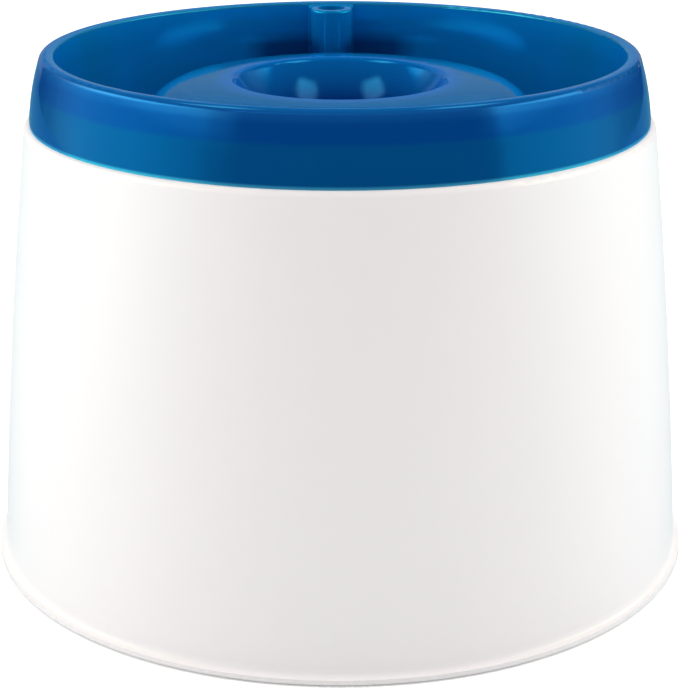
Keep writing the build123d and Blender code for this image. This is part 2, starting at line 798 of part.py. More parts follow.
with BuildPart() as impeller:
    on_shaft(magnet_rear, magnet_front, sleeve_radius)
    on_shaft(magnet_front, plate_rear, hub_radius)
    on_shaft(plate_rear, vane_rear, impeller_radius)
    on_shaft(vane_rear, vane_front, hub_radius)
    with BuildSketch(facing_front(vane_rear)) as vanes:
        with Locations((0, shaft_height)):
            with PolarLocations(0, impeller_vanes):
                Rectangle(impeller_radius, vane_thickness, align=(Align.MIN, Align.CENTER))
    extrude(vanes.sketch, amount=vane_depth)
    with BuildSketch(facing_front(magnet_rear)) as bore:
        with Locations((0, shaft_height)):
            Circle(rotor_bore)
    extrude(bore.sketch, amount=magnet_rear - vane_front, mode=Mode.SUBTRACT)
save(impeller, "impeller")

# ---------------------------------------------------------------- impeller chamber
with BuildPart() as volute_cover:
    with BuildSketch(facing_front(pump_face)):
        with Locations(pump_centre):
            RectangleRounded(pump_width, pump_height, pump_rounding)
    extrude(amount=cover_flange)
    on_shaft(pump_face, chamber_front, chamber_outer)
    # outlet stub on top
    with BuildSketch(Plane.XY.offset(shaft_height)):
        with Locations((0, outlet_offset)):
            Circle(stub_radius)
    extrude(amount=stub_top - shaft_height)
    with BuildSketch(facing_front(pump_face)):
        with Locations((0, shaft_height)):
            Circle(chamber_radius)
    extrude(amount=chamber_depth, mode=Mode.SUBTRACT)
    with BuildSketch(Plane.XY.offset(shaft_height)):
        with Locations((0, outlet_offset)):
            Circle(stub_bore)
    extrude(amount=stub_top - shaft_height, mode=Mode.SUBTRACT)
    # intake hole, with three spokes that hold the front bush
    with BuildSketch(facing_front(chamber_front + chamber_wall)):
        with Locations((0, shaft_height)):
            Circle(intake_radius)
    extrude(amount=chamber_wall, mode=Mode.SUBTRACT)
    with BuildSketch(facing_front(chamber_front + chamber_wall)):
        with Locations((0, shaft_height)):
            with PolarLocations(0, 3, start_angle=90):
                Rectangle(intake_radius + 1, spoke_width, align=(Align.MIN, Align.CENTER))
    extrude(amount=chamber_wall)
    on_shaft(chamber_front + bush_length, chamber_front, bush_radius + bush_seat_wall)
    with BuildSketch(facing_front(chamber_front + bush_length)):
        with Locations((0, shaft_height)):
            Circle(bush_radius)
    extrude(amount=bush_length, mode=Mode.SUBTRACT)
    # groove for the seal, in the face that meets the motor block
    with BuildSketch(facing_front(pump_face)):
        with Locations((0, shaft_height)):
            Circle(o_ring_radius + o_ring_section)
            Circle(o_ring_radius - o_ring_section, mode=Mode.SUBTRACT)
    extrude(amount=2 * o_ring_section, mode=Mode.SUBTRACT)
save(volute_cover, "volute_cover")

with BuildPart() as cover_o_ring:
    with BuildSketch(Plane.XY.offset(shaft_height)):
        with Locations((o_ring_radius, pump_face - o_ring_section)):
            Circle(o_ring_section)
    revolve(axis=Axis((0, 0, shaft_height), (0, 1, 0)))
save(cover_o_ring, "cover_o_ring")

# ---------------------------------------------------------------- riser
riser_foot = stub_top - riser_socket_depth
bend_rise = (spout_offset - outlet_offset) / math.tan(math.radians(riser_lean))
bend_middle = (stub_top + socket_bottom) / 2
bend_room = (socket_bottom - stub_top - bend_rise) / 2 - running_gap
bend_radius = min(riser_bend, bend_room / math.tan(math.radians(riser_lean / 2)))


def riser_sweep(radius, bottom, top, mode):
    """Round bar along the riser's route, with two tangent bends."""
    with BuildLine(Plane.YZ) as route:
        FilletPolyline(
            (outlet_offset, bottom),
            (outlet_offset, bend_middle - bend_rise / 2),
            (spout_offset, bend_middle + bend_rise / 2),
            (spout_offset, top),
            radius=bend_radius,
        )
    with BuildSketch(Plane.XY.offset(bottom)) as section:
        with Locations((0, outlet_offset)):
            Circle(radius)
    sweep(section.sketch, path=route.wire(), mode=mode)


with BuildPart() as riser_pipe:
    riser_sweep(riser_radius, stub_top, riser_top, Mode.ADD)
    with BuildSketch(Plane.XY.offset(riser_foot)):
        with Locations((0, outlet_offset)):
            Circle(stub_radius + riser_socket_wall)
    extrude(amount=riser_socket_depth + riser_socket_wall)
    riser_sweep(riser_bore, stub_top, riser_top, Mode.SUBTRACT)
    with BuildSketch(Plane.XY.offset(riser_foot)):
        with Locations((0, outlet_offset)):
            Circle(stub_radius)
    extrude(amount=riser_socket_depth, mode=Mode.SUBTRACT)
save(riser_pipe, "riser_pipe")

# ---------------------------------------------------------------- intake cover
intake_rear = pump_face - cover_flange - intake_gap
intake_length = intake_rear - intake_front

with BuildPart() as intake_cover:
    with BuildSketch(facing_front(intake_rear)):
        with Locations(pump_centre):
            RectangleRounded(pump_width, pump_height, pump_rounding)
    extrude(amount=intake_length)
    fillet(intake_cover.edges().group_by(Axis.Y)[0], radius=intake_rounding)
    with BuildSketch(facing_front(intake_rear)):
        with Locations(pump_centre):
            RectangleRounded(
                pump_width - 2 * intake_wall,
                pump_height - 2 * intake_wall,
                pump_rounding - intake_wall,
            )
    extrude(amount=intake_length - intake_wall, mode=Mode.SUBTRACT)
    # slot in the top that clears the outlet stub, open to the rear
    with BuildSketch(Plane.XY.offset(pump_top)):
        with Locations((0, outlet_offset)):
            Circle(stub_radius + intake_gap)
            Rectangle(
                2 * (stub_radius + intake_gap), intake_length, align=(Align.CENTER, Align.MIN)
            )
    extrude(amount=-intake_wall, mode=Mode.SUBTRACT)
    # water slots through both side walls
    with BuildSketch(Plane.YZ.offset(-pump_width / 2)):
        slot_pitch = pump_height / (side_slots + 1)
        with Locations(((intake_front + intake_rear) / 2, pump_centre[1])):
            with GridLocations(0, slot_pitch, 1, side_slots):
                SlotOverall(intake_length / 2, slot_width)
    extrude(amount=pump_width, mode=Mode.SUBTRACT)
    # windows in the front wall, and the pin that the dial turns on
    with BuildSketch(facing_front(intake_front + intake_wall)):
        with Locations((0, shaft_height)):
            with PolarLocations(window_circle, dial_windows, start_angle=45):
                Circle(window_radius)
    extrude(amount=intake_wall, mode=Mode.SUBTRACT)
    on_shaft(intake_front, intake_front - dial_thickness - intake_gap, dial_pin_radius)
save(intake_cover, "intake_cover")

with BuildPart() as intake_sponge:
    sponge_rear = intake_front + intake_wall + intake_gap + sponge_thickness
    with BuildSketch(facing_front(sponge_rear)):
        with Locations(pump_centre):
            RectangleRounded(
                pump_width - 2 * intake_wall - 2 * intake_gap,
                pump_height - 2 * intake_wall - 2 * intake_gap,
                pump_rounding - intake_wall,
            )
    extrude(amount=sponge_thickness)
save(intake_sponge, "intake_sponge")

with BuildPart() as flow_dial:
    dial_rear = intake_front - running_gap
    on_shaft(dial_rear, dial_rear - dial_thickness, dial_radius)
    with BuildSketch(facing_front(dial_rear)):
        with Locations((0, shaft_height)):
            Rectangle(slot_width, dial_radius + 2.5, align=(Align.CENTER, Align.MIN))
    extrude(amount=dial_thickness)
    chamfer(flow_dial.edges().group_by(Axis.Y)[0], length=dial_chamfer)
    with BuildSketch(facing_front(dial_rear)):
        with Locations((0, shaft_height)):
            Circle(dial_pin_radius + running_gap)
            with PolarLocations(window_circle, dial_windows, start_angle=45):
                Circle(window_radius)
    extrude(amount=dial_thickness, mode=Mode.SUBTRACT)
save(flow_dial, "flow_dial")
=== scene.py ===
# %% [markdown]
# # Pet water fountain
# A white conical reservoir carries a blue translucent basin with a ring-shaped moat, a doughnut
# dome and a spout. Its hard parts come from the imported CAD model, which stays as it is and gets
# its finishes here. The foam, felt, carbon, sponge and copper wire, which CAD keeps as plain
# blocks, are modelled in this script, each in the space that its block holds.

# %% Load the frame
import json
import random
from math import cos, pi, radians, sin, sqrt, tau

import bmesh
import bpy
from mathutils import Euler, Matrix, Vector

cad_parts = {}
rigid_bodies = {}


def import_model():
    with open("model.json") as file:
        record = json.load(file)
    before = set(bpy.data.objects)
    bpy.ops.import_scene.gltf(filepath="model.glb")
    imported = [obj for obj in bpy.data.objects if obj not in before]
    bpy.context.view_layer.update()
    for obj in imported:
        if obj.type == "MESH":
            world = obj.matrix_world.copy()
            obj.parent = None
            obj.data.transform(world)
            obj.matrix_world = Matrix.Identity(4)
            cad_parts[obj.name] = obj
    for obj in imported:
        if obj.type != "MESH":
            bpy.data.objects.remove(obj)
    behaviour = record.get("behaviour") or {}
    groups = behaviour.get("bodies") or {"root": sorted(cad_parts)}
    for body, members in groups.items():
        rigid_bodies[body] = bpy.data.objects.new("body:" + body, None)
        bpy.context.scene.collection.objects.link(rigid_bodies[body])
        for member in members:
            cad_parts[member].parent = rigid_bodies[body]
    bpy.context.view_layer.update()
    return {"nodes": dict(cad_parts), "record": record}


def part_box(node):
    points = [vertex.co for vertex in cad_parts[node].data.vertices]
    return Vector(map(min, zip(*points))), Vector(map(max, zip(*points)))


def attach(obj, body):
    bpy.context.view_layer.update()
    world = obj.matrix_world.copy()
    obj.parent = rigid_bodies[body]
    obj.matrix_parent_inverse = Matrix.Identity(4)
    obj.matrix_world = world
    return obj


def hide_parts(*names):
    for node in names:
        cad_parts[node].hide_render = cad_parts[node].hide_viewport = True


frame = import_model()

MM = 0.001


scene = bpy.context.scene
scene.view_settings.view_transform = "Standard"

# %% [markdown]
# ## Camera
# The fountain is seen from a little above and from two degrees to one side of its front. A short
# lens close by would narrow its far rim and widen its near foot, so a long lens stands further
# off and keeps their real proportions. The picture is 680 x 688, so the sensor's 36 mm lie along
# its height.

# %% Camera
CAMERA_DISTANCE = 0.5934  # along the floor, from the fountain's axis
CAMERA_HEIGHT = 0.2681
CAMERA_AZIMUTH = -2.1  # degrees from the front, positive to the right
CAMERA_PITCH = 19.02  # degrees below the horizon
LENS = 100.8  # millimetres, like the sensor's side
SENSOR = 36


def round_axis(azimuth, distance, height):
    """Place round the fountain; azimuth is in degrees from the front, positive to the right."""
    turn = radians(azimuth)
    return Vector((distance * sin(turn), -distance * cos(turn), height))


bpy.ops.object.camera_add(
    location=round_axis(CAMERA_AZIMUTH, CAMERA_DISTANCE, CAMERA_HEIGHT),
    rotation=(radians(90 - CAMERA_PITCH), 0, radians(CAMERA_AZIMUTH)),
)
camera = bpy.context.object
camera.name = "camera"
camera.data.lens = LENS
camera.data.sensor_width = SENSOR
scene.camera = camera
print("camera at", [round(c, 3) for c in camera.location])

# %% [markdown]
# ## Light
# Two wide soft boxes stand left and right of the fountain, and a third hangs above it and
# reaches into the basin. A soft box has a light of its own and a bright front that gloss
# mirrors. Area lights could do both at once, but their fronts are equally bright all over, so
# here the lamps give the light, and glowing cards, which fade towards their sides as real
# soft boxes do, give the reflections.

# %% Lamps
AIM = Vector((0, 0, 0.08))  # the middle of the fountain
LAMP_DISTANCE = 1.15
LAMP_HEIGHT = 0.62


def soft_lamp(name, place, size, watts):
    """Area light that faces the fountain; neither the camera nor gloss sees it."""
    facing = (AIM - place).to_track_quat("-Z", "Y").to_euler()
    bpy.ops.object.light_add(type="AREA", location=place, rotation=facing)
    lamp = bpy.context.object
    lamp.name = name
    lamp.data.shape = "RECTANGLE"
    lamp.data.size, lamp.data.size_y = size
    lamp.data.energy = watts
    lamp.visible_camera = False
    lamp.visible_glossy = False


soft_lamp("lamp_left", round_axis(-85, LAMP_DISTANCE, LAMP_HEIGHT), size=(2.0, 1.3), watts=11.9)
soft_lamp("lamp_right", round_axis(92, LAMP_DISTANCE, LAMP_HEIGHT), size=(1.9, 1.3), watts=12.0)
soft_lamp("lamp_above", round_axis(0, distance=0.05, height=1.75), size=(2.2, 2.2), watts=10.5)

# %% [markdown]
# ## World and floor
# Both are white where the camera sees them, and where metal, gloss and clear plastic show them.
# Raising their light until they look white would burn out the fountain's own white. So the
# Light Path node tells the rays apart: on those that carry light, the world is weaker and the
# floor is plain paint, which also keeps the fountain's shadow.

# %% Node trees
class Tree:
    """Node tree of the world or of a material, with short ways to add nodes and join them."""

    def __init__(self, owner):
        owner.use_nodes = True
        self.owner = owner
        self.nodes, self.links = owner.node_tree.nodes, owner.node_tree.links

    def add(self, kind, **settings):
        """New node; settings are its menus and switches."""
        node = self.nodes.new(kind)
        for name, value in settings.items():
            setattr(node, name, value)
        return node

    def feed(self, socket, value):
        """Join a socket to a node's output, or set the socket's own value."""
        if isinstance(value, bpy.types.NodeSocket):
            self.links.new(value, socket)
        else:
            socket.default_value = value

    def math(self, operation, *values):
        node = self.add("ShaderNodeMath", operation=operation)
        for socket, value in zip(node.inputs, values):
            self.feed(socket, value)
        return node.outputs[0]


def seen_or_mirrored(tree):
    """1 on camera, glossy and transmission rays, and 0 on the rays that carry light."""
    path = tree.add("ShaderNodeLightPath").outputs
    share = tree.math("MAXIMUM", path["Is Camera Ray"], path["Is Glossy Ray"])
    return tree.math("MAXIMUM", share, path["Is Transmission Ray"])


# %% World
WORLD_LIGHT = 0.84
WHITE = (1, 1, 1, 1)


def studio_world():
    world = bpy.data.worlds.new("studio")
    tree = Tree(world)
    tree.nodes.clear()
    mix = tree.add("ShaderNodeMixShader")
    tree.feed(mix.inputs["Fac"], seen_or_mirrored(tree))
    for socket, strength in ((mix.inputs[1], WORLD_LIGHT), (mix.inputs[2], 1.0)):
        background = tree.add("ShaderNodeBackground")
        background.inputs["Color"].default_value = WHITE
        background.inputs["Strength"].default_value = strength
        tree.feed(socket, background.outputs[0])
    output = tree.add("ShaderNodeOutputWorld")
    tree.feed(output.inputs["Surface"], mix.outputs[0])
    return world


scene.world = studio_world()
print("world:", scene.world.name, "with light", WORLD_LIGHT)

# %% Floor
FLOOR_SIZE = 12
FLOOR_COLOR = (0.93, 0.93, 0.93)
FLOOR_LIFT = 0.22  # light that the floor adds to what is seen of it
MATT = 0.9  # roughness of paint and cloth


def stage_material(name, color, lift=0.0):
    """Matt paint or cloth; lift lightens it where it is seen, and lights nothing else."""
    tree = Tree(bpy.data.materials.new(name))
    sockets = tree.nodes["Principled BSDF"].inputs
    sockets["Base Color"].default_value = (*color, 1)
    sockets["Roughness"].default_value = MATT
    if lift:
        glow = tree.math("MULTIPLY", seen_or_mirrored(tree), lift)
        tree.feed(sockets["Emission Strength"], glow)
        sockets["Emission Color"].default_value = WHITE
    return tree.owner


def deselect():
    bpy.ops.object.select_all(action="DESELECT")


deselect()
bpy.ops.mesh.primitive_plane_add(size=FLOOR_SIZE, location=(0, 0, 0))
floor = bpy.context.object
floor.name = "floor"
floor.data.materials.append(stage_material("studio_floor", FLOOR_COLOR, FLOOR_LIFT))
print("floor:", FLOOR_SIZE, "metres square")

# %% [markdown]
# ## What gloss mirrors
# Gloss shows the room, so the room needs dark and light places. Dark and grey cards stand round
# the fountain and above it, and a bluish cloth lies on the floor, because what comes back through
# a blue wall is blue. The soft boxes' glowing fronts are brightest in the middle, cool low down
# and warmer towards the top. A picture of a studio in the world could give the same, but cards
# can be moved one at a time until each reflection lies where it should.

# %% Cards and cloth
def hidden(piece, cloth, only_mirrored):
    """Keep a stage piece out of the picture, and its shadow too if it is only mirrored."""
    piece.data.materials.append(cloth)
    piece.visible_camera = False
    if only_mirrored:
        piece.visible_diffuse = False
        piece.visible_shadow = False


def card(name, place, size, cloth, turn=(0, 0, 0), only_mirrored=True):
    deselect()
    bpy.ops.mesh.primitive_plane_add(size=1, location=place, rotation=turn)
    board = bpy.context.object
    board.name = name
    board.scale = (*size, 1)
    hidden(board, cloth, only_mirrored)


def standing_card(name, azimuth, distance, width, height, cloth, only_mirrored=True):
    """Card that stands on the floor and faces the fountain."""
    place = round_axis(azimuth, distance, height / 2)
    turn = (radians(90), 0, radians(azimuth))
    card(name, place, (width, height), cloth, turn, only_mirrored)


def floor_cloth(name, radius, lift, cloth):
    deselect()
    bpy.ops.mesh.primitive_circle_add(
        vertices=96, radius=radius, location=(0, 0, lift), fill_type="NGON"
    )
    disc = bpy.context.object
    disc.name = name
    hidden(disc, cloth, only_mirrored=True)


dark_cloth = stage_material("dark_cloth", (0.03, 0.03, 0.03))
grey_cloth = stage_material("grey_cloth", (0.25, 0.25, 0.25))
blue_cloth = stage_material("blue_cloth", (0.05, 0.25, 0.31))
standing_card(
    "card_front",
    azimuth=4,
    distance=1.5,
    width=3.4,
    height=1.4,
    cloth=dark_cloth,
    only_mirrored=False,
)
standing_card(
    "card_back", azimuth=180, distance=1.4, width=3.6, height=1.6, cloth=grey_cloth
)
floor_cloth("cloth_floor", radius=2.4, lift=0.5 * MM, cloth=blue_cloth)
card("card_above", place=(0, 0, 1.9), size=(3.4, 3.4), cloth=dark_cloth)
names = [o.name for o in bpy.data.objects if o.name.startswith(("card", "cloth"))]
print("cards and cloth:", names)

# %% Glow
def object_place(tree):
    return tree.add("ShaderNodeTexCoord").outputs["Object"]


def xyz(tree, vector):
    """The three coordinates of a place, one by one."""
    split = tree.add("ShaderNodeSeparateXYZ")
    tree.feed(split.inputs[0], vector)
    return split.outputs


def ramp(tree, value, stops):
    """Grey that follows its stops, each a place from 0 to 1 and a brightness."""
    node = tree.add("ShaderNodeValToRGB")
    tree.feed(node.inputs["Fac"], value)
    points = node.color_ramp.elements
    while len(points) < len(stops):
        points.new(0.5)
    for point, (place, grey) in zip(points, stops):
        point.position = place
        point.color = (grey, grey, grey, 1)
    return node.outputs["Color"]


def blended(tree, share, first, second):
    """The first colour where the share is 0, and the second where it is 1."""
    mix = tree.add("ShaderNodeMix", data_type="RGBA")
    tree.feed(mix.inputs["Factor"], share)
    tree.feed(mix.inputs["A"], first)
    tree.feed(mix.inputs["B"], second)
    return mix.outputs["Result"]


def tint(tree, share, dark, light):
    """Between two shades, as the share says."""
    return blended(tree, share, (*dark, 1), (*light, 1))


def box_front(name, along, upward, strength, low_color, top_color):
    """Glow that changes along its card and up it; low_color is for its dark stops."""
    tree = Tree(bpy.data.materials.new(name))
    tree.nodes.clear()
    place = xyz(tree, object_place(tree))
    # A card's own coordinates run from -0.5 to 0.5, and a ramp's from 0 to 1.
    across = ramp(tree, tree.math("ADD", place["X"], 0.5), along)
    up = ramp(tree, tree.math("ADD", place["Y"], 0.5), upward)
    glow = tree.add("ShaderNodeEmission")
    tree.feed(glow.inputs["Color"], tint(tree, up, low_color, top_color))
    share = tree.math("MULTIPLY", up, tree.math("MULTIPLY", across, strength))
    tree.feed(glow.inputs["Strength"], share)
    output = tree.add("ShaderNodeOutputMaterial")
    tree.feed(output.inputs["Surface"], glow.outputs[0])
    return tree.owner


# %% Fronts of the soft boxes
UPWARD = ((0.0, 0.22), (0.34, 0.22), (0.55, 0.62), (0.66, 0.74), (0.8, 0.6), (1.0, 0.0))
LEFT_ALONG = (
    (0.0, 0.0), (0.20, 0.04), (0.30, 0.18), (0.37, 0.55), (0.44, 0.92), (0.60, 0.83),
    (0.74, 0.52), (0.80, 0.40), (0.84, 0.22), (0.93, 0.10), (1.0, 0.0),
)
RIGHT_ALONG = (
    (0.0, 0.0), (0.085, 0.14), (0.115, 0.38), (0.145, 0.66), (0.235, 0.74), (0.44, 0.92),
    (0.52, 0.70), (0.58, 0.30), (0.66, 0.12), (0.80, 0.03), (1.0, 0.0),
)
GLINT = ((0.0, 0.0), (0.25, 1.0), (0.75, 1.0), (1.0, 0.0))
LOW_GLOW = (0.0, 1.3, 1.0)
TOP_GLOW = (2.4, 1.4, 0.6)
WARM_GLOW = (2.5, 1.5, 0.7)
LEFT_STRENGTH, RIGHT_STRENGTH, GLINT_STRENGTH = 5.8, 4.5, 1.9
LEFT, RIGHT = -95, 102  # azimuths of the two soft boxes
LEFT_WIDTH, RIGHT_WIDTH = 3.2, 2.8
GLOW_DISTANCE, GLOW_HEIGHT = 1.0, 1.0
BEHIND_DISTANCE, BEHIND_WIDTH, BEHIND_HEIGHT = 1.3, 3.2, 2.0

left_glow = box_front("left_glow", LEFT_ALONG, UPWARD, LEFT_STRENGTH, LOW_GLOW, TOP_GLOW)
right_glow = box_front("right_glow", RIGHT_ALONG, UPWARD, RIGHT_STRENGTH, LOW_GLOW, TOP_GLOW)
glint = box_front("glint", GLINT, GLINT, GLINT_STRENGTH, WARM_GLOW, WARM_GLOW)
standing_card("front_left", LEFT, GLOW_DISTANCE, LEFT_WIDTH, GLOW_HEIGHT, left_glow)
standing_card("front_right", RIGHT, GLOW_DISTANCE, RIGHT_WIDTH, GLOW_HEIGHT, right_glow)
standing_card("card_left", LEFT, BEHIND_DISTANCE, BEHIND_WIDTH, BEHIND_HEIGHT, dark_cloth)
standing_card("card_right", RIGHT, BEHIND_DISTANCE, BEHIND_WIDTH, BEHIND_HEIGHT, dark_cloth)
for name, x in (("front_above_left", -0.68), ("front_above_right", 0.68)):
    card(name, place=(x, 0.1, 1.62), size=(0.55, 0.8), cloth=glint)

# %% [markdown]
# ## Finishes
# Every finish is built from noise, cells or bands on Object coordinates, so it stays on its
# piece as the piece moves. Colour, roughness and relief come from the same pattern where the
# real surface has one cause for all three, such as the grain of a mould. Values that are the
# same all over go straight to the shader's own sockets.

# %% Helpers for finishes
def shader(tree):
    """Sockets of a material's Principled shader."""
    return tree.nodes["Principled BSDF"].inputs


def finish(name, plain=()):
    """Tree of a new material; plain holds the values that are the same all over."""
    tree = Tree(bpy.data.materials.new(name))
    for socket, value in plain:
        shader(tree)[socket].default_value = value
    return tree


def mapped(tree, vector, **settings):
    """A place that is moved, turned or stretched."""
    mapping = tree.add("ShaderNodeMapping")
    for name, value in settings.items():
        mapping.inputs[name].default_value = value
    tree.feed(mapping.inputs["Vector"], vector)
    return mapping.outputs["Vector"]


def pattern(tree, kind, scale, detail=2, along=(1, 1, 1)):
    """Texture that repeats about scale times in a metre; a small part of along draws it out."""
    node = tree.add(kind)
    node.inputs["Scale"].default_value = scale
    node.inputs["Detail"].default_value = detail
    tree.feed(node.inputs["Vector"], mapped(tree, object_place(tree), Scale=along))
    return node


def noise(tree, scale, detail=2, along=(1, 1, 1)):
    return pattern(tree, "ShaderNodeTexNoise", scale, detail, along).outputs["Fac"]


def cells(tree, scale):
    return pattern(tree, "ShaderNodeTexVoronoi", scale).outputs["Distance"]


def remap(tree, value, low, high, from_low=0.3, from_high=0.7):
    """Values from low to high; most noise lies between 0.3 and 0.7."""
    node = tree.add("ShaderNodeMapRange")
    limits = {"From Min": from_low, "From Max": from_high, "To Min": low, "To Max": high}
    for name, limit in limits.items():
        node.inputs[name].default_value = limit
    tree.feed(node.inputs["Value"], value)
    return node.outputs["Result"]


def color(tree, value, dark, light):
    tree.feed(shader(tree)["Base Color"], tint(tree, value, dark, light))


def roughness(tree, value, low, high, from_low=0.3, from_high=0.7):
    tree.feed(shader(tree)["Roughness"], remap(tree, value, low, high, from_low, from_high))


def relief(tree, height, strength, depth):
    bump = tree.add("ShaderNodeBump")
    bump.inputs["Strength"].default_value = strength
    bump.inputs["Distance"].default_value = depth
    tree.feed(bump.inputs["Height"], height)
    tree.feed(shader(tree)["Normal"], bump.outputs["Normal"])


# %% [markdown]
# ## White plastic
# The reservoir is opaque white, with the fine grain of its mould. A perfectly even white would
# look like paper, so a slow drift of colour and a grain in gloss and relief are laid over it.

# %% White plastic
def white_plastic():
    tree = finish("white_plastic")
    drift = noise(tree, 9, detail=3, along=(1, 1, 0.4))
    grain = noise(tree, 900)
    color(tree, drift, (0.82, 0.783, 0.782), (0.85, 0.813, 0.812))
    roughness(tree, grain, 0.30, 0.38)
    relief(tree, grain, strength=0.05, depth=0.2 * MM)
    return tree.owner


# %% [markdown]
# ## Blue plastic
# The basin is one translucent moulding, so its blue depends on what stands behind it, on how
# much plastic the light has passed and on how light falls on it. All of that is painted into its
# colour: the inside, crater, dome and collar are lit and shaded copies of one blue, the throat is
# painted darker as shade, the wall's top and the collar's cut edge are painted lighter as light
# that passes the plastic, the rim's inner edge and a band under the rim carry painted highlights,
# the collar is painted a little greener where the white neck behind it shines through, and
# painted shade lies where the riser stands behind the back wall. A shader that lets light through
# could do that, but it is noisy, and the motor and filter would show as dark shapes. So the
# surface is opaque, and each blue is laid over the last one by radius and height. It is partly
# metallic, which keeps its reflections blue.

# %% Blues of the basin
# Painted light and shade: the inside, crater, dome and collar blues are lit and shaded copies of
# one blue; the others are painted light or painted shade.
BLUE_INSIDE = ((0.001, 0.18, 0.49), (0.001, 0.20, 0.53))
BLUE_WALL_LIGHT = ((0.001, 0.25, 0.62), (0.001, 0.27, 0.66))
BLUE_SHADED = ((0.001, 0.06, 0.21), (0.001, 0.066, 0.23))
BLUE_THROAT_SHADE = ((0.001, 0.013, 0.15), (0.001, 0.016, 0.17))
BLUE_CRATER = ((0.0015, 0.17, 0.56), (0.0015, 0.185, 0.60))
BLUE_DOME = ((0.0015, 0.15, 0.39), (0.0015, 0.165, 0.42))
BLUE_COLLAR = ((0.001, 0.074, 0.345), (0.001, 0.081, 0.365))
BLUE_NECK_LIGHT = ((0.001, 0.097, 0.33), (0.001, 0.107, 0.35))
BLUE_COLLAR_HIGHLIGHT = ((0.006, 0.11, 0.42), (0.007, 0.12, 0.45))
BLUE_EDGE_GLOW = ((0.05, 0.40, 0.68), (0.06, 0.44, 0.72))
BLUE_RIM_HIGHLIGHT = ((0.01, 0.23, 0.50), (0.012, 0.25, 0.53))

# %% Where one blue passes into the next
# Radii
# Radii over which the throat's painted shade gives way to the crater's blue
THROAT_SHADE_SPAN = (21 * MM, 34 * MM)
CRATER = (35 * MM, 40 * MM)
DOME = (60 * MM, 67 * MM)
COLLAR = (88.5 * MM, 92.5 * MM)
# Heights
# Heights over which painted light grows towards the wall's top
WALL_LIGHT_SPAN = (152 * MM, 161 * MM)
# Top of the white neck, below which the collar is painted with the neck's light shining through
NECK_TOP = (150.9 * MM, 152.1 * MM)
# Heights of the painted highlight band under the rim
COLLAR_HIGHLIGHT_SPAN = (156.6 * MM, 159.4 * MM)
# Heights of the painted edge glow along the collar's cut edge
EDGE_GLOW_SPAN = (140.1 * MM, 140.9 * MM)
# Shade of the riser behind the back wall
SHADE_HEIGHT = (146.5 * MM, 151.5 * MM)
SHADE_HALF_WIDTH = (22 * MM, 31 * MM)
SHADE_BACK = (72 * MM, 76 * MM)
# Painted highlight along the rim's inner edge, which gathers light as a cut edge does
RIM_HIGHLIGHT_RADIUS = 88.2 * MM
RIM_HIGHLIGHT_HALF = 0.5 * MM
RIM_HIGHLIGHT_LOW = 159.7 * MM


# %% Blue plastic
def rising(tree, value, span):
    """From 0 before a span to 1 after it."""
    return remap(tree, value, 0, 1, *span)


def falling(tree, value, span):
    return remap(tree, value, 1, 0, *span)


def distance_from_axis(tree, place):
    flat = tree.add("ShaderNodeCombineXYZ")
    tree.feed(flat.inputs["X"], place["X"])
    tree.feed(flat.inputs["Y"], place["Y"])
    length = tree.add("ShaderNodeVectorMath", operation="LENGTH")
    tree.feed(length.inputs[0], flat.outputs[0])
    return length.outputs["Value"]


def blue_plastic():
    tree = finish(
        "blue_plastic",
        (
            ("Metallic", 0.45),
            ("IOR", 1.4),
            ("Specular IOR Level", 0.25),
            ("Specular Tint", (0.2, 0.55, 1.0, 1)),
        ),
    )
    swirl = noise(tree, 22, detail=3)
    place = xyz(tree, object_place(tree))
    height = place["Z"]
    radius = distance_from_axis(tree, place)

    def blue(shades):
        return tint(tree, swirl, *shades)

    sideways = tree.math("ABSOLUTE", place["X"])
    shade = tree.math(
        "MULTIPLY",
        falling(tree, height, SHADE_HEIGHT),
        falling(tree, sideways, SHADE_HALF_WIDTH),
    )
    shade = tree.math("MULTIPLY", shade, rising(tree, place["Y"], SHADE_BACK))
    inside = blue(BLUE_INSIDE)
    # Painted light towards the wall's top
    inside = blended(tree, rising(tree, height, WALL_LIGHT_SPAN), inside, blue(BLUE_WALL_LIGHT))
    inside = blended(tree, shade, inside, blue(BLUE_SHADED))

    collar = blue(BLUE_COLLAR)
    # Painted light of the white neck shining through the collar
    collar = blended(tree, falling(tree, height, NECK_TOP), collar, blue(BLUE_NECK_LIGHT))
    # Painted highlight band under the rim
    collar = blended(tree, rising(tree, height, COLLAR_HIGHLIGHT_SPAN), collar, blue(BLUE_COLLAR_HIGHLIGHT))
    # Painted edge glow along the collar's cut edge
    collar = blended(tree, falling(tree, height, EDGE_GLOW_SPAN), collar, blue(BLUE_EDGE_GLOW))

    # Painted shade deep in the throat, lighter out towards the crater
    basin = blue(BLUE_THROAT_SHADE)
    basin = blended(tree, rising(tree, radius, THROAT_SHADE_SPAN), basin, blue(BLUE_CRATER))
    basin = blended(tree, rising(tree, radius, CRATER), basin, blue(BLUE_DOME))
    basin = blended(tree, rising(tree, radius, DOME), basin, inside)
    basin = blended(tree, rising(tree, radius, COLLAR), basin, collar)
    # Painted highlight along the rim's inner edge
    on_highlight = tree.math(
        "MULTIPLY",
        tree.math("COMPARE", radius, RIM_HIGHLIGHT_RADIUS, RIM_HIGHLIGHT_HALF),
        tree.math("GREATER_THAN", height, RIM_HIGHLIGHT_LOW),
    )
    basin = blended(tree, on_highlight, basin, blue(BLUE_RIM_HIGHLIGHT))
    tree.feed(shader(tree)["Base Color"], basin)
    roughness(tree, noise(tree, 500, detail=3), 0.07, 0.12)
    return tree.owner


# %% [markdown]
# ## Rubber and silicone
# The pads, cups, bushes, gland and seal ring are grey moulded rubber, matt with a fine bloom. The
# riser and the sleeve in the spout's foot are milky silicone. One soft material in two colours
# could serve for both, but light enters silicone and spreads in it, so that one scatters below
# its surface.

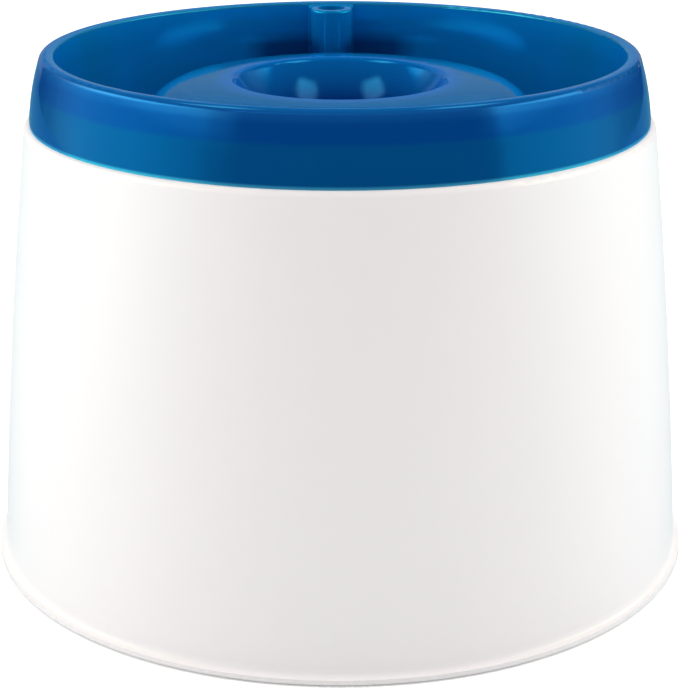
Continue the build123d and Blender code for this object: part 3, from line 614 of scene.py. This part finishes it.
# %% Rubber and silicone
def scattering(weight, depth):
    """Plain values for light that spreads below the surface, equally far in every colour."""
    return (
        ("Subsurface Weight", weight),
        ("Subsurface Radius", (1.0, 1.0, 1.0)),
        ("Subsurface Scale", depth),
    )


def grey_rubber():
    tree = finish("grey_rubber")
    bloom = noise(tree, 150, detail=4)
    grain = noise(tree, 1200)
    color(tree, bloom, (0.085, 0.085, 0.095), (0.14, 0.14, 0.15))
    roughness(tree, grain, 0.6, 0.8)
    relief(tree, grain, strength=0.2, depth=0.2 * MM)
    return tree.owner


def silicone():
    tree = finish("silicone", scattering(0.5, 1.2 * MM))
    cloud = noise(tree, 70, detail=4)
    dust = noise(tree, 1500)
    color(tree, cloud, (0.58, 0.61, 0.64), (0.70, 0.73, 0.76))
    roughness(tree, dust, 0.28, 0.48)
    relief(tree, dust, strength=0.06, depth=0.1 * MM)
    return tree.owner


# %% [markdown]
# ## Moulded plastics inside
# Each moulding has the surface that its mould gave it. The tray and the coil's bobbin are natural
# plastic, slightly clear, with long flow marks. The cartridge is opaque white with a satin
# grain, the pump's shell is black with the pits of a spark-eroded mould, and the impeller and
# the dial are a harder, glossier white. A shared recipe with other colours would miss those
# differences in gloss and grain, so each has its own pattern sizes.

# %% Moulded plastics
def tray_plastic():
    tree = finish("tray_plastic", scattering(0.4, 1.5 * MM))
    flow = noise(tree, 30, detail=4, along=(1, 1, 0.25))
    color(tree, flow, (0.60, 0.63, 0.65), (0.74, 0.77, 0.79))
    roughness(tree, flow, 0.26, 0.40)
    relief(tree, noise(tree, 1400), strength=0.05, depth=0.1 * MM)
    return tree.owner


def cartridge_plastic():
    tree = finish("cartridge_plastic")
    grain = noise(tree, 1000)
    color(tree, noise(tree, 40, detail=3), (0.74, 0.74, 0.73), (0.80, 0.80, 0.79))
    roughness(tree, grain, 0.38, 0.50)
    relief(tree, grain, strength=0.10, depth=0.2 * MM)
    return tree.owner


def black_plastic():
    tree = finish("black_plastic")
    wear = noise(tree, 120, detail=5)
    pits = cells(tree, 1800)
    color(tree, wear, (0.012, 0.012, 0.013), (0.024, 0.024, 0.026))
    roughness(tree, wear, 0.36, 0.56)
    relief(tree, pits, strength=0.25, depth=0.2 * MM)
    return tree.owner


def impeller_plastic():
    tree = finish("impeller_plastic")
    flow = noise(tree, 160, detail=3)
    color(tree, flow, (0.66, 0.67, 0.69), (0.76, 0.77, 0.79))
    roughness(tree, flow, 0.20, 0.32)
    relief(tree, flow, strength=0.04, depth=0.2 * MM)
    return tree.owner


# %% [markdown]
# ## The motor
# Resin is poured over the motor and sets glossy, with faint swells and pinholes. The core is a
# stack of sheets 0.5 mm thick, so its bands lie across the stack's direction, which here is Y;
# cut sheets could be modelled one by one, but the stack is pressed and varnished, so only its
# lines show. The shaft is ground along the same Y. The winding is enamelled copper, and the
# magnet is fired ferrite, dull and speckled.

# %% Resin and steel
SHEET = 0.5 * MM
SHEET_SCALE = pi / (10 * SHEET)  # a wave texture's scale for one band a sheet


def resin():
    tree = finish("resin")
    swell = noise(tree, 90)
    pinholes = cells(tree, 500)
    color(tree, swell, (0.014, 0.014, 0.015), (0.024, 0.024, 0.026))
    roughness(tree, pinholes, 0.35, 0.12, from_low=0.0, from_high=0.25)
    relief(tree, swell, strength=0.3, depth=0.6 * MM)
    return tree.owner


def sheet_steel():
    tree = finish("sheet_steel", [("Metallic", 1.0)])
    bands = tree.add("ShaderNodeTexWave", bands_direction="Y")
    bands.inputs["Scale"].default_value = SHEET_SCALE
    bands.inputs["Distortion"].default_value = 0.3
    tree.feed(bands.inputs["Vector"], object_place(tree))
    edge = bands.outputs["Fac"]
    color(tree, edge, (0.16, 0.15, 0.15), (0.44, 0.43, 0.42))
    roughness(tree, edge, 0.55, 0.32, from_low=0.0, from_high=1.0)
    relief(tree, edge, strength=0.5, depth=0.1 * MM)
    return tree.owner


def ground_steel():
    tree = finish("ground_steel", [("Metallic", 1.0)])
    scratches = noise(tree, 900, detail=3, along=(1, 0.08, 1))
    color(tree, scratches, (0.46, 0.46, 0.47), (0.60, 0.60, 0.61))
    roughness(tree, scratches, 0.14, 0.30)
    return tree.owner


# %% Copper and ferrite
def copper():
    enamel = [("Metallic", 0.9), ("Coat Weight", 0.5), ("Coat Roughness", 0.1)]
    tree = finish("copper", enamel)
    flow = noise(tree, 350, detail=3)
    color(tree, flow, (0.42, 0.13, 0.045), (0.62, 0.24, 0.09))
    roughness(tree, flow, 0.22, 0.38)
    return tree.owner


def magnet():
    tree = finish("magnet")
    speckle = noise(tree, 1600, detail=4)
    color(tree, speckle, (0.035, 0.035, 0.04), (0.075, 0.075, 0.08))
    roughness(tree, speckle, 0.45, 0.70)
    relief(tree, speckle, strength=0.15, depth=0.2 * MM)
    return tree.owner


# %% [markdown]
# ## Filter materials
# Open-cell foam is a web of thin struts round dark pores, felt is a mat of short fibres, and
# activated carbon is broken, dull black grit. The pores and the fibres are far too many to
# model one by one, so the meshes below carry their swells and grains, and the shaders carry
# the cells and the fibres. The pores' dark colour is painted shade, the shade inside the foam's
# holes.

# %% Foam and carbon
# Painted shade inside the foam's pores
PORE_SHADE = (0.06, 0.10, 0.15, 1)


def foam():
    tree = finish("foam")
    pores = cells(tree, 750)
    strut = tint(tree, noise(tree, 45, detail=4), (0.42, 0.53, 0.64), (0.52, 0.63, 0.73))
    near_strut = remap(tree, pores, 0.0, 1.0, from_low=0.22, from_high=0.85)
    # Painted shade in the pores, with the struts' own colour round them
    tree.feed(shader(tree)["Base Color"], blended(tree, near_strut, PORE_SHADE, strut))
    roughness(tree, pores, 1.0, 0.75, from_low=0.1, from_high=0.6)
    relief(tree, pores, strength=0.8, depth=0.6 * MM)
    return tree.owner


def carbon():
    tree = finish("carbon")
    facets = cells(tree, 700)
    ash = noise(tree, 260, detail=4)
    color(tree, ash, (0.010, 0.010, 0.011), (0.034, 0.034, 0.036))
    roughness(tree, facets, 0.35, 0.85, from_low=0.1, from_high=0.6)
    relief(tree, facets, strength=0.5, depth=0.3 * MM)
    return tree.owner


# %% Felt
FIBRE_DIRECTIONS = 5
FIBRE_TURN = 0.68  # radians from one direction to the next
FIBRE_SCALE = 2600
FIBRE_STRETCH = (1, 0.07, 1)


def fibres(tree, number):
    """Noise drawn out in one direction."""
    turned = mapped(tree, object_place(tree), Rotation=(0, 0, number * FIBRE_TURN))
    drawn_out = mapped(tree, turned, Location=(number, 0, 0), Scale=FIBRE_STRETCH)
    node = tree.add("ShaderNodeTexNoise")
    node.inputs["Scale"].default_value = FIBRE_SCALE
    node.inputs["Detail"].default_value = 1
    tree.feed(node.inputs["Vector"], drawn_out)
    return node.outputs["Fac"]


def felt():
    """Fibres in five directions; the brightest one lies on top."""
    tree = finish("felt", [("Sheen Weight", 0.25), ("Sheen Roughness", 0.6)])
    top = fibres(tree, 0)
    for number in range(1, FIBRE_DIRECTIONS):
        top = tree.math("MAXIMUM", top, fibres(tree, number))
    shade = remap(tree, top, 0.0, 1.0, from_low=0.5, from_high=0.75)
    color(tree, shade, (0.50, 0.50, 0.48), (0.80, 0.80, 0.78))
    roughness(tree, top, 1.0, 0.85, from_low=0.5, from_high=0.75)
    relief(tree, top, strength=0.6, depth=0.4 * MM)
    return tree.owner


# %% Give each CAD node its finish
FINISHES = {
    "white_plastic": white_plastic(),
    "blue_plastic": blue_plastic(),
    "grey_rubber": grey_rubber(),
    "silicone": silicone(),
    "tray_plastic": tray_plastic(),
    "cartridge_plastic": cartridge_plastic(),
    "black_plastic": black_plastic(),
    "impeller_plastic": impeller_plastic(),
    "resin": resin(),
    "steel": sheet_steel(),
    "copper": copper(),
    "magnet": magnet(),
    "foam": foam(),
    "felt": felt(),
    "carbon": carbon(),
}
SHAFT = "impeller_shaft"  # of steel too, but ground instead of stacked


def dress(piece, material):
    piece.data.materials.clear()
    piece.data.materials.append(material)


for part in frame["record"]["subparts"]:
    dress(frame["nodes"][part["node"]], FINISHES[part["material_slot"]])
dress(frame["nodes"][SHAFT], ground_steel())
print(len(frame["nodes"]), "CAD nodes dressed in", len(FINISHES) + 1, "finishes")

# %% [markdown]
# ## Foam and felt
# Both pads are die-cut from sheet and drop into the cartridge: the felt below, the foam on top.
# The cut pulls their rims round and their sides a little inwards, and their faces are not quite
# flat. They could be blown up by a cloth simulation as cushions are, but a die-cut disc is
# nearly rigid, so each starts as a cylinder whose rims are bevelled, whose faces are inset ring
# by ring, and whose waist is drawn in, before a cloud texture moves its surface.

# %% Selecting and editing
NEAR = 0.05 * MM  # points this close to a plane count as on it
LEVEL = 0.9  # upward part of a normal, above which its face counts as level


def edit(piece, kind="FACE"):
    """Open one piece in edit mode with nothing selected."""
    deselect()
    piece.select_set(True)
    bpy.context.view_layer.objects.active = piece
    bpy.ops.object.mode_set(mode="EDIT")
    bpy.ops.mesh.select_mode(type=kind)
    bpy.ops.mesh.select_all(action="DESELECT")


def pick_faces(piece, wanted):
    """Select the faces whose middle and normal pass a test."""
    mesh = bmesh.from_edit_mesh(piece.data)
    for face in mesh.faces:
        if wanted(face.calc_center_median(), face.normal):
            face.select_set(True)
    bmesh.update_edit_mesh(piece.data)


def pick_points(piece, wanted):
    """Select the points whose place passes a test."""
    mesh = bmesh.from_edit_mesh(piece.data)
    for point in mesh.verts:
        if wanted(point.co):
            point.select_set(True)
    bmesh.update_edit_mesh(piece.data)


def settle(piece):
    """Back to object mode, with the place, turn and size of the piece in its mesh."""
    if bpy.context.mode != "OBJECT":
        bpy.ops.object.mode_set(mode="OBJECT")
    deselect()
    piece.select_set(True)
    bpy.context.view_layer.objects.active = piece
    bpy.ops.object.transform_apply(location=True, rotation=True, scale=True)


# %% Modifiers
SMOOTHING = 2  # subdivision levels of a soft piece
SWELL_LEVEL = 0.6  # brightness of the clouds at which the surface stays where it is


def shaped(piece, kind, **settings):
    """Add a modifier and apply it."""
    modifier = piece.modifiers.new(kind.lower(), kind)
    for key, value in settings.items():
        setattr(modifier, key, value)
    bpy.context.view_layer.objects.active = piece
    bpy.ops.object.modifier_apply(modifier=modifier.name)


def soften(piece, swell, cloud_size):
    """Round a piece by subdivision, and let clouds move its surface."""
    clouds = bpy.data.textures.new(piece.name, "CLOUDS")
    clouds.noise_scale = cloud_size
    clouds.noise_depth = 2
    shaped(piece, "SUBSURF", levels=SMOOTHING, render_levels=SMOOTHING)
    shaped(
        piece,
        "DISPLACE",
        texture=clouds,
        texture_coords="LOCAL",
        strength=swell,
        mid_level=SWELL_LEVEL,
    )
    bpy.ops.object.shade_smooth()


# %% Joining a piece to the CAD model
def piece_box(piece):
    """Lowest and highest corner in millimetres."""
    spots = [vertex.co for vertex in piece.data.vertices]
    low = [round(min(spot[axis] for spot in spots) / MM, 2) for axis in range(3)]
    high = [round(max(spot[axis] for spot in spots) / MM, 2) for axis in range(3)]
    return low, high


def joined_to_cad(piece, node, body, slot):
    """Let a finished piece stand for a CAD node: same body, same slot, and its finish."""
    dress(piece, FINISHES[slot])
    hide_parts(node)
    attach(piece, body)
    print(piece.name, len(piece.data.polygons), "faces", *piece_box(piece))


# %% Foam disc and felt disc
DISC_SIDES = 96
DISC_RINGS = 6
DISC_MIDDLE = 1.3  # radius that the rings leave in the middle, in rings
DISC_INSET = 0.25 * MM  # from the space that the CAD disc holds
RIM_STEPS = 3


def soft_disc(name, node, rim, waist, swell, cloud_size):
    """Round pad; rim is its edges' rounding, waist the share of its radius left halfway up."""
    low, high = (Vector(corner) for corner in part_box(node))
    middle = (low + high) / 2
    radius = (high.x - low.x) / 2 - DISC_INSET
    thickness = high.z - low.z - 2 * DISC_INSET
    deselect()
    bpy.ops.mesh.primitive_cylinder_add(
        vertices=DISC_SIDES,
        radius=radius,
        depth=thickness,
        location=middle,
        end_fill_type="NGON",
    )
    disc = bpy.context.object
    disc.name = name
    settle(disc)
    edit(disc)
    pick_faces(disc, lambda at, normal: abs(normal.z) > LEVEL)
    bpy.ops.mesh.region_to_loop()
    bpy.ops.mesh.bevel(offset=rim, segments=RIM_STEPS, affect="EDGES")
    bpy.ops.mesh.select_mode(type="FACE")
    bpy.ops.mesh.select_all(action="DESELECT")
    pick_faces(disc, lambda at, normal: abs(normal.z) > LEVEL and at.xy.length < MM)
    for _ in range(DISC_RINGS):
        bpy.ops.mesh.inset(thickness=radius / (DISC_RINGS + DISC_MIDDLE))
    bpy.ops.mesh.poke()
    bpy.ops.mesh.select_all(action="SELECT")
    bpy.ops.mesh.bisect(plane_co=middle, plane_no=(0, 0, 1))
    bpy.ops.mesh.select_mode(type="VERT")
    bpy.ops.mesh.select_all(action="DESELECT")
    pick_points(disc, lambda at: abs(at.z - middle.z) < NEAR)
    bpy.ops.transform.resize(value=(waist, waist, 1))
    settle(disc)
    soften(disc, swell, cloud_size)
    return disc


foam_disc = soft_disc(
    "foam_disc", "filter_foam", rim=0.7 * MM, waist=0.988, swell=0.35 * MM, cloud_size=3.5 * MM
)
joined_to_cad(foam_disc, "filter_foam", "cartridge", "foam")
felt_disc = soft_disc(
    "felt_disc", "filter_felt", rim=0.4 * MM, waist=0.994, swell=0.2 * MM, cloud_size=5 * MM
)
joined_to_cad(felt_disc, "filter_felt", "cartridge", "felt")

# %% [markdown]
# ## Sponge of the intake
# A small block of the same foam sits behind the pump's slotted cover and keeps hair out of the
# impeller. It is cut with a knife, so its corners are sharper than the disc's. It could reuse
# the disc's recipe, but its flat sides need an even grid, so a cube is subdivided instead.

# %% Sponge block
SPONGE_CUTS = 7
SPONGE_INSET = 0.2 * MM
SPONGE_ROUNDING = 0.5 * MM


def sponge_block():
    low, high = (Vector(corner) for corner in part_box("intake_sponge"))
    deselect()
    bpy.ops.mesh.primitive_cube_add(size=1, location=(low + high) / 2)
    block = bpy.context.object
    block.name = "sponge_block"
    block.scale = high - low - Vector((2, 2, 2)) * SPONGE_INSET
    settle(block)
    edit(block)
    bpy.ops.mesh.select_all(action="SELECT")
    bpy.ops.mesh.subdivide(number_cuts=SPONGE_CUTS)
    settle(block)
    shaped(block, "BEVEL", width=SPONGE_ROUNDING, segments=2, limit_method="ANGLE")
    soften(block, swell=0.3 * MM, cloud_size=2.5 * MM)
    return block


sponge = sponge_block()
joined_to_cad(sponge, "intake_sponge", "intake", "foam")

# %% [markdown]
# ## Carbon bed
# The cartridge is filled with loose carbon between the pads. A disc with a rough surface would
# pass from far off, but near by the bed is separate grains. A few grains are knocked out of
# icospheres, each by its own random push, and are laid out in four layers, turned at random.

# %% One grain
GRAIN_KINDS = 5
GRAIN_RADIUS = 1.2 * MM
GRAIN_PUSH = 0.22 * MM
GRAIN_WIDTH = (0.8, 0.95)  # shares of its length
GRAIN_HEIGHT = (0.7, 0.85)
draw = random.Random(4)


def grain(kind):
    """One broken grain, in three unequal lengths."""
    deselect()
    bpy.ops.mesh.primitive_ico_sphere_add(subdivisions=1, radius=GRAIN_RADIUS)
    stone = bpy.context.object
    edit(stone, "VERT")
    bpy.ops.mesh.select_all(action="SELECT")
    bpy.ops.transform.vertex_random(offset=GRAIN_PUSH, seed=kind)
    bpy.ops.transform.resize(value=(1.0, draw.uniform(*GRAIN_WIDTH), draw.uniform(*GRAIN_HEIGHT)))
    settle(stone)
    mesh = stone.data.copy()
    bpy.data.objects.remove(stone)
    return mesh


# %% Carbon granules
GRAIN_PITCH = 2.2 * MM
GRAIN_LAYERS = 4
GRAIN_STRAY = 0.45 * MM  # a grain's largest distance from its spot in the grid
GRAIN_CLEARANCE = 0.2 * MM  # from the walls round the bed
ROWS_PER_PITCH = 1.2  # the grid's rows stand a little closer than its grains


def stray():
    return draw.uniform(-1, 1) * GRAIN_STRAY


def grain_spots(radius, shift):
    """Hexagonal grid inside a circle, moved by a shift, each spot a little off its place."""
    rows = int(ROWS_PER_PITCH * radius / GRAIN_PITCH) + 1
    for row in range(-rows, rows + 1):
        for column in range(-rows, rows + 1):
            x = shift + (column + row % 2 / 2) * GRAIN_PITCH + stray()
            y = shift / sqrt(3) + row * GRAIN_PITCH * sqrt(3) / 2 + stray()
            if x * x + y * y < radius * radius:
                yield x, y


def gathered(name, heap):
    """Make one object of all that was put on a heap."""
    mesh = bpy.data.meshes.new(name)
    heap.to_mesh(mesh)
    heap.free()
    piece = bpy.data.objects.new(name, mesh)
    scene.collection.objects.link(piece)
    return piece


def carbon_bed():
    low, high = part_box("filter_carbon")
    kinds = [grain(kind) for kind in range(GRAIN_KINDS)]
    reach = GRAIN_RADIUS + GRAIN_CLEARANCE
    step = (high[2] - low[2] - 2 * reach) / (GRAIN_LAYERS - 1)
    heap = bmesh.new()
    for layer in range(GRAIN_LAYERS):
        for x, y in grain_spots(high[0] - reach, layer % 2 * GRAIN_PITCH / 2):
            place = Vector((x, y, low[2] + reach + layer * step))
            turn = Euler([draw.uniform(0, tau) for _ in range(3)])
            copy = draw.choice(kinds).copy()
            copy.transform(turn.to_matrix().to_4x4())
            copy.transform(Matrix.Translation(place))
            heap.from_mesh(copy)
            bpy.data.meshes.remove(copy)
    for kind in kinds:
        bpy.data.meshes.remove(kind)
    return gathered("carbon_granules", heap)


joined_to_cad(carbon_bed(), "filter_carbon", "cartridge", "carbon")

# %% [markdown]
# ## Copper winding
# The real coil has a few hundred turns of thin enamelled wire, wound side by side in layers
# round the bobbin. Grooves in a block would look the same from afar, but round wire catches the
# light turn by turn, so some seventy turns of a thicker wire fill the same space. One turn is a
# rectangle with rounded corners, made a curve with the wire's thickness, and the turns stand
# next to each other, three layers deep.

# %% One turn of wire
WIRE = 0.48 * MM
WIRE_PITCH = 0.5 * MM
WIRE_LAYERS = 3
BEND = 1.2 * MM  # round the outer corners of the coil
BEND_STEP = 0.35 * MM  # by which each layer further in bends tighter
BEND_SIDES = 3


def one_turn(middle, width, height, bend):
    """Closed turn of wire in the YZ plane."""
    deselect()
    bpy.ops.mesh.primitive_plane_add(size=1, location=middle, rotation=(0, radians(90), 0))
    turn = bpy.context.object
    turn.scale = (height, width, 1)
    settle(turn)
    edit(turn, "VERT")
    bpy.ops.mesh.select_all(action="SELECT")
    bpy.ops.mesh.bevel(offset=bend, segments=BEND_SIDES, affect="VERTICES")
    bpy.ops.mesh.select_all(action="SELECT")
    bpy.ops.mesh.delete(type="ONLY_FACE")
    settle(turn)
    bpy.ops.object.convert(target="CURVE")
    turn = bpy.context.object
    turn.data.bevel_depth = WIRE / 2
    turn.data.bevel_resolution = 1
    bpy.ops.object.convert(target="MESH")
    turn = bpy.context.object
    mesh = turn.data.copy()
    bpy.data.objects.remove(turn)
    return mesh


# %% Copper turns
def copper_turns():
    low, high = (Vector(corner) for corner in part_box("coil_winding"))
    middle = (low + high) / 2
    count = int((high.x - low.x) / WIRE_PITCH)
    coil = bmesh.new()
    for layer in range(WIRE_LAYERS):
        inward = WIRE / 2 + layer * WIRE_PITCH
        width = high.y - low.y - 2 * inward
        height = high.z - low.z - 2 * inward
        turn = one_turn((0, middle.y, middle.z), width, height, BEND - layer * BEND_STEP)
        turns = count - layer % 2
        for number in range(turns):
            copy = turn.copy()
            x = middle.x + (number - (turns - 1) / 2) * WIRE_PITCH
            copy.transform(Matrix.Translation((x, 0, 0)))
            coil.from_mesh(copy)
            bpy.data.meshes.remove(copy)
        bpy.data.meshes.remove(turn)
    winding = gathered("copper_turns", coil)
    settle(winding)
    bpy.ops.object.shade_smooth()
    return winding


joined_to_cad(copper_turns(), "coil_winding", "pump", "copper")
